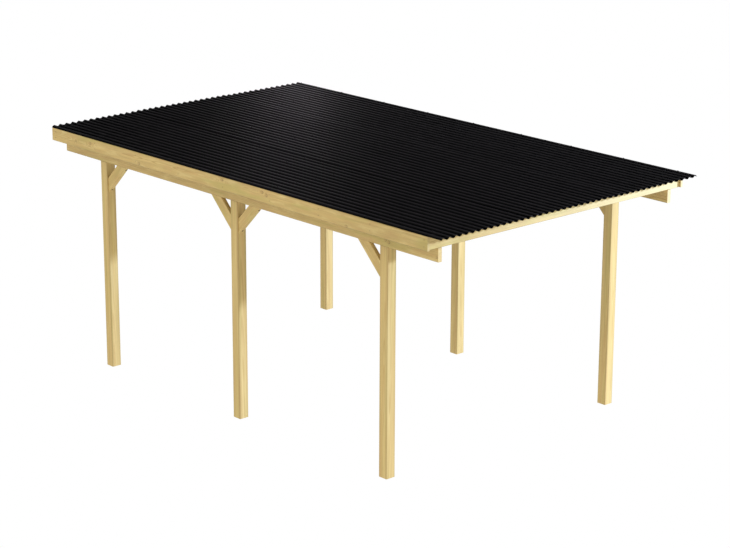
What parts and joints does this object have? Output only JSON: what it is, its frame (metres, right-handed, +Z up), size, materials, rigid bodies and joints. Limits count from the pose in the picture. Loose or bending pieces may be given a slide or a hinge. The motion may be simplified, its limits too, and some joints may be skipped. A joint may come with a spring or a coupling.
{
  "type": "open timber carport",
  "caption": "Open flat-roofed carport: square timber posts with knee braces carry beams, cross rafters and fascia boards under a black corrugated roof.",
  "frame": {"origin": "on the ground, under the middle of the roof", "axes": "+X along the length towards the front, where the roof reaches out furthest; +Y towards the right-hand row of posts as seen from the front; +Z up"},
  "size_m": [5.312, 3.0926, 2.2826],
  "materials": {
    "timber": "planed softwood, pressure treated to a greenish yellow",
    "roof_sheet": "satin black",
    "fixings": "zinc plated"
  },
  "bodies": {
    "root": {"left_beam": "timber", "left_fascia": "timber", "left_post_rear": "timber", "left_post_middle": "timber", "left_post_front": "timber", "left_brace_rear_forward": "timber", "left_brace_middle_rearward": "timber", "left_brace_middle_forward": "timber", "left_brace_front_rearward": "timber", "right_beam": "timber", "right_fascia": "timber", "right_post_rear": "timber", "right_post_middle": "timber", "right_post_front": "timber", "right_brace_rear_forward": "timber", "right_brace_middle_rearward": "timber", "right_brace_middle_forward": "timber", "right_brace_front_rearward": "timber", "rafter_1": "timber", "rafter_2": "timber", "rafter_3": "timber", "rafter_4": "timber", "rafter_5": "timber", "rafter_6": "timber", "rafter_7": "timber", "rafter_8": "timber", "rafter_9": "timber", "roof_sheet_1": "roof_sheet", "roof_sheet_2": "roof_sheet", "roof_sheet_3": "roof_sheet"}
  },
  "joints": []
}
